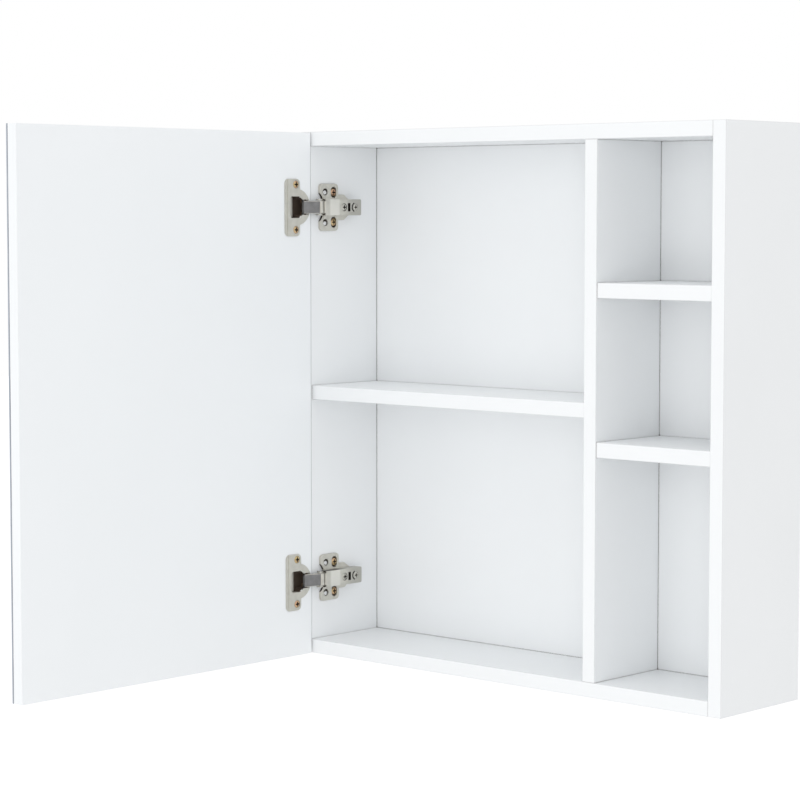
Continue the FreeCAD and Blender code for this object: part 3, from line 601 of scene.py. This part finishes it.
def soften(piece, width, rings):
    only(piece)
    bevel = piece.modifiers.new("soften", "BEVEL")
    bevel.width = width * MM
    bevel.segments = rings
    bevel.limit_method = "ANGLE"
    bevel.angle_limit = SOFTEN_ABOVE
    bpy.ops.object.modifier_apply(modifier="soften")
    bpy.ops.object.shade_smooth_by_angle(angle=SMOOTH_BELOW)


def paint(piece, main, *others):
    # The main finish all over, and on each face the first other one whose test holds there.
    piece.data.materials.clear()
    piece.data.materials.append(main)
    for finish, _ in others:
        piece.data.materials.append(finish)
    for face in piece.data.polygons:
        for number, (_, test) in enumerate(others, 1):
            if test(face.center / MM, face.normal):
                face.material_index = number
                break


def lower_copy(piece, name):
    # The same piece on the lower hinge.
    twin = piece.copy()
    twin.data = piece.data.copy()
    rename(twin, name)
    scene.collection.objects.link(twin)
    only(twin)
    bpy.ops.object.mode_set(mode="EDIT")
    bpy.ops.mesh.select_all(action="SELECT")
    bpy.ops.transform.translate(value=(0.0, 0.0, (LOWER_Z - UPPER_Z) * MM))
    bpy.ops.object.mode_set(mode="OBJECT")
    return twin


def fit_pair(piece, kind, body_upper, body_lower):
    # Puts the finished upper piece and its lower copy in the place of the two plain ones.
    lower = lower_copy(piece, "lower_%s_shape" % kind)
    for shape, end, body in ((piece, "upper", body_upper), (lower, "lower", body_lower)):
        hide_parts("%s_%s" % (end, kind))
        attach(shape, body)


# Sizes of the hinge pieces in millimetres. A bevel or softened edge is given by its width and rings.
SIDES = (1, -1)
# How long cutters are and how far they stand past a face, the least thickness that an edge across a piece
# runs through, and what counts as near and as close.
REACH = 40.0
PAST = 1.0
ACROSS = 1.0
NEAR = 0.1
CLOSE = 0.05
# The part of its normal along an axis below which a face counts as steep.
STEEP = 0.5

FLANGE_THICK = 1.2
FLANGE_FRONT = CUP_Y - 17.65
FLANGE_BACK = CUP_Y + 4.4
FLANGE_ABOVE = 29.7
FLANGE_BELOW = 30.7
FLANGE_CORNER = (5.0, 8)
STRIP_WIDE = 3.6
STRIP_DEEP = 0.4
RIM_RADIUS = 18.9
RIM_Y = CUP_Y + 1.0
RIM_LOWER = 0.25
RIM_STARTS = CUP_Y - 12.0
BOWL_RADIUS = 17.5
BOWL = (DOOR_FACE - 11.5, DOOR_FACE + 0.4)
ROUND_SIDES = 96
# The upper half of the well's outline, front to back. Its slanted corner lies between the third and fourth.
WELL_HALF = ((-165.2, 7.6), (-161.8, 11.4), (-150.8, 11.4), (-146.4, 8.1), (-136.7, 8.1))
WELL_DEEP = 10.3
WELL_BEVEL = (0.8, 1)
SLANT_START, SLANT_START_Z = WELL_HALF[2]
SLANT_STOP, SLANT_STOP_Z = WELL_HALF[3]
# The ramp's depth under the door's face at each place from front to back.
RAMP = ((0.1, -165.4), (0.6, -163.4), (1.5, -161.0), (2.8, -158.4), (4.3, -155.8), (6.0, -153.2), (8.4, -151.6))
RAMP_HALF = 10.3
RAMP_FOOT = DOOR_FACE - 11.0
SEAT_RADIUS = 4.1
SEAT_X = DOOR_FACE + 0.45
CUP_SCREW_Y = CUP_Y - 1.8
CUP_SCREW_Z = 24.0
CUP_SOFT = (0.4, 3)
# Where the well's slanted corner and the well itself are told from the rest of the cup.
SLANT_EDGE_LEAST = DOOR_FACE + 0.5
SLANT_FACES = (SLANT_START - 0.2, SLANT_STOP + 0.4)
SLANT_LEANS = 0.3
SLANT_LOOKS_AHEAD = -0.2
WELL_MOST = DOOR_FACE - 0.2

METAL = 1.2
LINK_HALF = 6.6
LINK_BEND = (1.1, 5)
LINK_SOFT = (0.3, 2)
# The link's outline by steps from the arm pin and the cup pin: the ends of its flat top, and then the rest.
TOP_AT_ARM = (3.2, -0.5)
TOP_AT_CUP = (6.1, -3.7)
LINK_AT_CUP = (
    (5.6, -4.3), (4.7, -4.5), (3.4, -3.7), (0.0, -1.75), (-1.5, -0.9), (-1.5, 0.9), (0.0, 1.75), (2.4, 0.6),
    (4.5, -0.45), (6.3, 1.15), (7.3, 5.15),
)
LINK_AT_ARM = ((-2.5, -1.0), (-2.0, 1.6), (0.0, 2.5), (2.2, 1.5))
HOLLOW_SHORT = 1.5
HOLLOW_LONG = 4.0
HOLLOW_AT_CUP = ((-6.0, -8.0), (-6.0, 4.0), (4.0, 6.0))
HOLLOW_AT_ARM = (-4.0, -4.5)
# The rolled end: radius, steps from the arm pin and how far each roll stays inside the link's sides.
LINK_ROLLS = (("eye", 2.75, 0.0, 0.0, 0.05), ("lip", 2.0, 2.1, -0.5, 0.2), ("lip_end", 1.9, 2.1, 0.6, 0.25))
ROLL_SIDES = 32
LINK_TOP_LEAST = -254.5
LINK_BEND_LEAST = 15.0
# The painted shade lies ahead of these places, on faces that look along the web's normal or are steep.
WEB_SHADE_MOST = ARM_PIN[1] - 2.6
WEB_NORMAL = 0.92
END_SHADE_MOST = CUP_PIN[1] - 1.0

ARM_HALF = 8.6
ARM_TOP = SIDE_FACE + 13.8
ARM_FOOT = SIDE_FACE + 4.5
ARM_REAR = FRONT + 63.6
ARM_CORNER = (1.8, 4)
ARM_SOFT = (0.3, 2)
CROWN_STEPS = 8
CROWN_DROP = 1.5
CROWN_BACK = -104.0
CROWN_LONG = 15.8
# The arm's front lip and its pin lugs, by depth under the top and place from front to back.
ARM_LIP = ((2.6, -120.8), (1.9, -120.4))
ARM_LUG_FRONT = -127.0
ARM_LUGS = ((5.2, -127.0), (4.0, -126.0), (3.9, -122.4), (5.6, -121.6), (5.6, -121.1))
CROWN_FRONT = -117.0
CROWN_FRONT_WALL = 0.6
HOLLOW_REAR = ARM_REAR + 5.0
HOLLOW_FRONT = -130.0
HOLLOW_LIP = -120.9
HOLLOW_LIP_DROP = 2.5
HOLES_HALF = 4.0
SLOT = (FRONT + 42.9, FRONT + 46.8)
SLOT_HALF = 4.5
RING_Y = FRONT + 54.3
RING_RADII = (5.3, 3.9)
RING_FROM = 108.0
RING_SWEEP = 144.0
RING_STEPS = 20
ADJUST_Y = FRONT + 37.1
ADJUST_HOLE = 4.1
ADJUST_HOLE_SIDES = 40
LOCK_Y = FRONT + 54.7
LOCK_HOLE = 3.5
LOCK_HOLE_SIDES = 32
NOTCH = (-122.0, -119.3)
NOTCH_DEEP = 2.2
NOTCH_DROP = 3.2
# Where the arm's inside and its notches, which take painted shade, are told from the rest.
INSIDE_FROM = -98.0
INSIDE_HALF = 7.5
INSIDE_MOST = ARM_TOP - 0.3
NOTCH_FACES = (NOTCH[0] - NEAR, NOTCH[1] + 0.3)
NOTCH_MOST = ARM_TOP - 2.7

# The upper half of the plate's outline and of its raised middle, from the carcass's front backwards.
PLATE_HALF = (
    (15.6, 9.2), (14.6, 11.2), (11.6, 15.2), (11.6, 25.1), (39.4, 25.1), (39.4, 13.6), (48.5, 13.6), (54.0, 9.5),
    (59.0, 7.0),
)
RISE_HALF = ((16.5, 10.4), (46.5, 10.4), (51.0, 8.4))
PLATE_THICK = 2.4
PLATE_REACH = 25.1
PLATE_CORNER = (4.0, 6)
PLATE_FRONT = FRONT + 11.7
PLATE_FRONT_BEVEL = (1.7, 4)
PLATE_SOFT = (0.45, 3)
RISE_THICK = 3.4
HUMP = (FRONT + 18.0, FRONT + 59.0)
HUMP_THICK = 8.0
HUMP_HALF = 6.9
WING_PIN_Y = FRONT + 19.6
WING_PIN_Z = 16.4
# The pin sits a little lower and further ahead in its hole.
WING_PIN = (SIDE_FACE + 0.3, SIDE_FACE + 2.2)
WING_PIN_AHEAD = 0.2
WING_PIN_LOWER = 0.8
WING_PIN_RADIUS = 2.7
WING_PIN_SOFT = (1.4, 5)
WING_HOLE = (SIDE_FACE + 0.5, SIDE_FACE + 9.0)
WING_HOLE_RADIUS = 3.8
PLATE_SCREW_Y = FRONT + 32.5
PLATE_SCREW_Z = 16.0
PLATE_SLOT_X = SIDE_FACE + 0.6
PLATE_SLOT_RADIUS = 4.15
PLATE_SLOT_SHIFT = 1.8
PLATE_SLOT_STEPS = 24
# Where the plate's upper front edge and its faces that take painted shade are told from the rest.
FRONT_EDGE_LEAST = SIDE_FACE + 2.0
SLOT_FLOOR_MOST = SIDE_FACE + 1.0
SLOT_LEAST = 9.0
UNDER_ARM_LEAST = SIDE_FACE + 3.6
FRONT_STEP_MOST = FRONT + 15.7
FRONT_STEP = (9.0, 15.1)

# Screw heads, as shares of their radius or height.
HEAD_EDGE = 0.45
HEAD_CROWN = ((0.16, 0.27), (0.16, 0.17), (0.2, 0.11))
HEAD_SIDES = 40
CROSS_REACH = 0.66
CROSS_THIN = 0.19
CROSS_FLOOR = 0.2
PIT_RADIUS = 0.34
PIT_SIDES = 16
DARK_RADIUS = 0.7
DARK_HEIGHT = 0.75


def cross_screw(name, x, y, z, radius, height):
    # A screw head standing on x: a crowned disc with a cross recess.
    head = drum(name, radius, x, x + height * HEAD_EDGE, y, z, HEAD_SIDES)
    pick(head, "FACE", lambda face: face.normal.x > FLAT_NORMAL)
    for share, lift in HEAD_CROWN:
        bpy.ops.mesh.inset(thickness=radius * share * MM)
        bpy.ops.transform.translate(value=(height * lift * MM, 0.0, 0.0))
    bpy.ops.object.mode_set(mode="OBJECT")
    reach = radius * CROSS_REACH
    thin = radius * CROSS_THIN
    top = x + height + PAST
    low = x + height * CROSS_FLOOR
    for half_y, half_z in ((reach, thin), (thin, reach)):
        bar = block(y - half_y, y + half_y, z - half_z, z + half_z)
        cut(head, slab(name + "_recess", low, bar, top - low))
    cut(head, drum(name + "_pit", radius * PIT_RADIUS, low, top, y, z, PIT_SIDES))
    return head


def in_recess(x, y, z, radius, height):
    # A test for the faces inside the cross recess of a screw head, which take painted shade.
    def test(centre, normal):
        inside = math.hypot(centre.y - y, centre.z - z) < radius * DARK_RADIUS
        return inside and x + CLOSE < centre.x < x + height * DARK_HEIGHT
    return test


# Hinge cup: a flange with a lowered front strip, a round rim and a deep well with a ramp.
def build_cup():
    top = DOOR_FACE + FLANGE_THICK
    outline = block(FLANGE_FRONT, FLANGE_BACK, UPPER_Z - FLANGE_BELOW, UPPER_Z + FLANGE_ABOVE)
    flange = slab("upper_hinge_cup_shape", DOOR_FACE, outline, FLANGE_THICK)
    round_edges(flange, *FLANGE_CORNER, runs_across)
    strip = block(FLANGE_FRONT - PAST, FLANGE_FRONT + STRIP_WIDE, UPPER_Z - REACH, UPPER_Z + REACH)
    cut(flange, slab("strip", top - STRIP_DEEP, strip, REACH))
    rim = drum("rim", RIM_RADIUS, DOOR_FACE, top - RIM_LOWER, RIM_Y, UPPER_Z, ROUND_SIDES)
    over = block(CUP_Y - REACH, RIM_STARTS, UPPER_Z - REACH, UPPER_Z + REACH)
    cut(rim, slab("over", DOOR_FACE - PAST, over, REACH))
    unite(flange, rim)
    unite(flange, drum("bowl", BOWL_RADIUS, *BOWL, CUP_Y, UPPER_Z, ROUND_SIDES))
    cut(flange, slab("well", DOOR_FACE - WELL_DEEP, mirrored(0.0, WELL_HALF), REACH))
    for side in SIDES:
        seat_z = UPPER_Z + side * CUP_SCREW_Z
        cut(flange, drum("seat", SEAT_RADIUS, SEAT_X, top + PAST, CUP_SCREW_Y, seat_z, HEAD_SIDES))
    fall = (SLANT_START_Z - SLANT_STOP_Z) / (SLANT_STOP - SLANT_START)

    def corner(spot):
        on_line = abs(off_middle(spot) - (SLANT_START_Z - (spot.y - SLANT_START) * fall)) < CLOSE
        return on_line and SLANT_START - NEAR < spot.y < SLANT_STOP + NEAR and spot.x > SLANT_EDGE_LEAST
    round_edges(flange, *WELL_BEVEL, lambda a, b: corner(a) and corner(b))
    soften(flange, *CUP_SOFT)
    ramp = [(DOOR_FACE - depth, y) for depth, y in RAMP]
    ramp = [(RAMP_FOOT, RAMP[0][1])] + ramp + [(RAMP_FOOT, RAMP[-1][1])]
    join([flange, profile("ramp", ramp, RAMP_HALF)])
    bpy.ops.object.shade_smooth_by_angle(angle=SMOOTH_BELOW)

    def in_seat(centre, normal):
        return abs(centre.x - SEAT_X) < NEAR and normal.x > FLAT_NORMAL

    def in_well(centre, normal):
        return centre.x < WELL_MOST

    def on_slant(centre, normal):
        leans = abs(normal.z) > SLANT_LEANS and normal.x > SLANT_LEANS and normal.y < SLANT_LOOKS_AHEAD
        return leans and SLANT_FACES[0] < centre.y < SLANT_FACES[1] and centre.x > DOOR_FACE
    # The screw seats and the well take painted shade.
    paint(flange, nickel, (painted_shade_steel, in_seat), (well_painted_shade, in_well), (bright_steel, on_slant))
    fit_pair(flange, "hinge_cup", "door", "door")


# Link: a bowed channel with soft bends and a rolled eye on the arm pin.
def build_link():
    start = Vector((ARM_PIN[0] + TOP_AT_ARM[0], ARM_PIN[1] + TOP_AT_ARM[1]))
    end = Vector((CUP_PIN[0] + TOP_AT_CUP[0], CUP_PIN[1] + TOP_AT_CUP[1]))
    cup = Vector(CUP_PIN)
    arm = Vector(ARM_PIN)
    body = [start, end] + [cup + Vector(step) for step in LINK_AT_CUP]
    body += [arm + Vector(step) for step in LINK_AT_ARM]
    link = profile("upper_hinge_link_shape", body, LINK_HALF)
    across = (start - end).normalized()
    inward = Vector((-across.y, across.x)) * METAL
    hollow = [start + inward - across * HOLLOW_SHORT, end + inward - across * HOLLOW_LONG]
    hollow += [cup + Vector(step) for step in HOLLOW_AT_CUP] + [arm + Vector(HOLLOW_AT_ARM)]
    cut(link, profile("hollow", hollow, LINK_HALF - METAL))

    def bend(a, b):
        long_way = abs(a.z - b.z) < NEAR and (a - b).length > LINK_BEND_LEAST
        return long_way and abs(off_middle(a) - LINK_HALF) < NEAR and (a.x + b.x) / 2 > LINK_TOP_LEAST
    round_edges(link, *LINK_BEND, bend)
    for name, radius, x, y, inside in LINK_ROLLS:
        half = LINK_HALF - inside
        unite(link, post(name, radius, arm.x + x, arm.y + y, UPPER_Z - half, UPPER_Z + half, ROLL_SIDES))
    soften(link, *LINK_SOFT)
    web = Vector((across.y, -across.x, 0.0))

    def in_link_shade(centre, normal):
        on_web = centre.y < WEB_SHADE_MOST and normal.dot(web) > WEB_NORMAL
        on_end = centre.y < END_SHADE_MOST and abs(normal.z) < STEEP
        return on_web or on_end
    paint(link, nickel, (link_painted_shade, in_link_shade))
    fit_pair(link, "hinge_link", "upper_link", "lower_link")


# Arm: a channel with a crowned front over two pin lugs, a slot and a ring round the locking screw.
def build_arm():
    crown = [(ARM_TOP - drop, y) for drop, y in ARM_LIP]
    for step in range(CROWN_STEPS, -1, -1):
        share = step / CROWN_STEPS
        crown.append((ARM_TOP - CROWN_DROP * share ** 2, CROWN_BACK - CROWN_LONG * share))
    lugs = [(ARM_FOOT, ARM_REAR), (ARM_FOOT, ARM_LUG_FRONT)] + [(ARM_TOP - drop, y) for drop, y in ARM_LUGS]
    arm = profile("upper_hinge_arm_shape", crown + [(ARM_TOP, ARM_REAR)] + lugs, ARM_HALF)

    def rear_edge(a, b):
        return abs(a.y - ARM_REAR) < NEAR and abs(b.y - ARM_REAR) < NEAR and runs_across(a, b)
    round_edges(arm, *ARM_CORNER, rear_edge)
    hollow = [(x - METAL, y + (CROWN_FRONT_WALL if y < CROWN_FRONT else 0.0)) for x, y in crown]
    under = ARM_FOOT - PAST
    over = ARM_TOP + PAST
    hollow += [(ARM_TOP - METAL, HOLLOW_REAR), (under, HOLLOW_REAR), (under, HOLLOW_FRONT)]
    hollow += [(over, HOLLOW_FRONT), (over, HOLLOW_LIP), (ARM_TOP - HOLLOW_LIP_DROP, HOLLOW_LIP)]
    cut(arm, profile("hollow", hollow, ARM_HALF - METAL))
    low = ARM_TOP - HOLES_HALF
    high = ARM_TOP + HOLES_HALF
    slot = block(*SLOT, UPPER_Z - SLOT_HALF, UPPER_Z + SLOT_HALF)
    cut(arm, slab("slot", low, slot, high - low))
    sweep = [math.radians(RING_FROM + RING_SWEEP * step / RING_STEPS) for step in range(RING_STEPS + 1)]
    ring = []
    for radius, turns in zip(RING_RADII, (sweep, reversed(sweep))):
        ring += [(RING_Y + radius * math.cos(turn), UPPER_Z + radius * math.sin(turn)) for turn in turns]
    cut(arm, slab("ring", low, ring, high - low))
    cut(arm, drum("screw_hole", ADJUST_HOLE, low, high, ADJUST_Y, UPPER_Z, ADJUST_HOLE_SIDES))
    cut(arm, drum("lock_hole", LOCK_HOLE, low, high, LOCK_Y, UPPER_Z, LOCK_HOLE_SIDES))
    for side in SIDES:
        notch = block(*NOTCH, UPPER_Z + side * (ARM_HALF + PAST), UPPER_Z + side * (ARM_HALF - NOTCH_DEEP))
        cut(arm, slab("notch", ARM_TOP - NOTCH_DROP, notch, REACH))
    soften(arm, *ARM_SOFT)

    def dark(centre, normal):
        inside = centre.y > INSIDE_FROM and centre.x < INSIDE_MOST and off_middle(centre) < INSIDE_HALF
        at_notch = NOTCH_FACES[0] < centre.y < NOTCH_FACES[1] and centre.x < NOTCH_MOST
        return inside or (at_notch and off_middle(centre) > ARM_HALF - NOTCH_DEEP - NEAR)

    def cheek(centre, normal):
        return abs(normal.z) > FLAT_NORMAL and off_middle(centre) > ARM_HALF - NEAR
    paint(arm, arm_nickel, (painted_shade_steel, dark), (cheek_painted_shade, cheek))
    fit_pair(arm, "hinge_arm", "carcass", "carcass")


# Mounting plate: two wings with a pin and a slot each, stepped shoulders and a hump under the arm.
def build_plate():
    plate = slab("upper_hinge_plate_shape", SIDE_FACE, mirrored(FRONT, PLATE_HALF), PLATE_THICK)

    def wing_corner(a, b):
        return runs_across(a, b) and abs(off_middle(a) - PLATE_REACH) < NEAR
    round_edges(plate, *PLATE_CORNER, wing_corner)

    def front_edge(a, b):
        return min(a.x, b.x) > FRONT_EDGE_LEAST and max(a.y, b.y) < PLATE_FRONT
    round_edges(plate, *PLATE_FRONT_BEVEL, front_edge)
    hump = block(*HUMP, UPPER_Z - HUMP_HALF, UPPER_Z + HUMP_HALF)
    unite(plate, slab("hump", SIDE_FACE, hump, HUMP_THICK))
    unite(plate, slab("rise", SIDE_FACE, mirrored(FRONT, RISE_HALF), RISE_THICK))
    turns = [math.radians(step * 360.0 / PLATE_SLOT_STEPS) for step in range(PLATE_SLOT_STEPS)]
    for side in SIDES:
        hole_z = UPPER_Z + side * WING_PIN_Z
        cut(plate, drum("pin_hole", WING_HOLE_RADIUS, *WING_HOLE, WING_PIN_Y, hole_z, ROLL_SIDES))
        slot = []
        for turn in turns:
            shift = PLATE_SLOT_SHIFT if math.sin(turn) >= 0 else -PLATE_SLOT_SHIFT
            middle_z = UPPER_Z + side * PLATE_SCREW_Z + shift
            slot.append((PLATE_SCREW_Y + PLATE_SLOT_RADIUS * math.cos(turn),
                         middle_z + PLATE_SLOT_RADIUS * math.sin(turn)))
        cut(plate, slab("slot", PLATE_SLOT_X, slot, REACH))
    soften(plate, *PLATE_SOFT)

    def dark(centre, normal):
        off = off_middle(centre)
        in_slot = centre.x < SLOT_FLOOR_MOST and normal.x > FLAT_NORMAL and off > SLOT_LEAST
        under_arm = centre.x > UNDER_ARM_LEAST
        front_step = centre.y < FRONT_STEP_MOST and FRONT_STEP[0] < off < FRONT_STEP[1] and normal.x < STEEP
        return in_slot or under_arm or front_step
    paint(plate, nickel, (painted_shade_steel, dark))
    fit_pair(plate, "hinge_plate", "carcass", "carcass")


# Bright pins in the wings.
def build_pins():
    pins = []
    for side in SIDES:
        pin_z = UPPER_Z + side * WING_PIN_Z - WING_PIN_LOWER
        pin = drum("wing_pin_%d" % side, WING_PIN_RADIUS, *WING_PIN, WING_PIN_Y - WING_PIN_AHEAD, pin_z, ROLL_SIDES)
        soften(pin, *WING_PIN_SOFT)
        paint(pin, bright_steel)
        pins.append(pin)
    join(pins)
    rename(pins[0], "upper_hinge_wing_pins")
    for shape in (pins[0], lower_copy(pins[0], "lower_hinge_wing_pins")):
        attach(shape, "carcass")


def build_screws():
    # Each kind's body, place, heights off the middle, radius, height of head and metal.
    sets = (
        ("hinge_cup_screws", "door", DOOR_FACE + 0.4, CUP_SCREW_Y, (CUP_SCREW_Z, -CUP_SCREW_Z), 3.8, 1.5, gold),
        ("hinge_plate_screws", "carcass", SIDE_FACE + 0.9, PLATE_SCREW_Y, (PLATE_SCREW_Z, -PLATE_SCREW_Z),
         3.8, 1.9, gold),
        ("hinge_adjusting_screw", "carcass", SIDE_FACE + 12.6, ADJUST_Y, (0.0,), 3.6, 1.7, nickel),
        ("hinge_lock_screw", "carcass", SIDE_FACE + 13.3, LOCK_Y, (0.0,), 3.2, 1.0, nickel),
    )
    for kind, body, x, y, offsets, radius, height, metal in sets:
        heads = []
        for number, offset in enumerate(offsets):
            z = UPPER_Z + offset
            head = cross_screw("%s_%d" % (kind, number), x, y, z, radius, height)
            paint(head, metal, (painted_shade_steel, in_recess(x, y, z, radius, height)))
            heads.append(head)
        join(heads)
        rename(heads[0], "upper_%s_shape" % kind)
        bpy.ops.object.shade_smooth_by_angle(angle=SMOOTH_BELOW)
        fit_pair(heads[0], kind, body, body)


build_cup()
build_link()
build_arm()
build_plate()
build_pins()
build_screws()

# Floor, well below the hung cabinet.
FLOOR_Z = -1.4
FLOOR_SIZE = 30.0
FLOOR_COLOUR = (0.86, 0.86, 0.86, 1.0)
FLOOR_ROUGH = 0.9
FLOOR_GLOW = 0.35


def floor_paint():
    # Pale, with a glow that only the camera sees.
    material, nodes, links, shader, _ = finish_nodes("pale_floor")
    shader.inputs["Base Color"].default_value = FLOOR_COLOUR
    shader.inputs["Roughness"].default_value = FLOOR_ROUGH
    path = nodes.new("ShaderNodeLightPath")
    glow = nodes.new("ShaderNodeEmission")
    glow.inputs["Strength"].default_value = FLOOR_GLOW
    add = nodes.new("ShaderNodeAddShader")
    links.new(shader.outputs[0], add.inputs[0])
    links.new(glow.outputs[0], add.inputs[1])
    mix = nodes.new("ShaderNodeMixShader")
    links.new(path.outputs["Is Camera Ray"], mix.inputs[0])
    links.new(shader.outputs[0], mix.inputs[1])
    links.new(add.outputs[0], mix.inputs[2])
    links.new(mix.outputs[0], nodes["Material Output"].inputs["Surface"])
    return material


bpy.ops.object.select_all(action="DESELECT")
bpy.ops.mesh.primitive_plane_add(size=FLOOR_SIZE, location=(0.0, 0.0, FLOOR_Z))
floor = bpy.context.active_object
floor.name = "floor"
floor.data.materials.append(floor_paint())
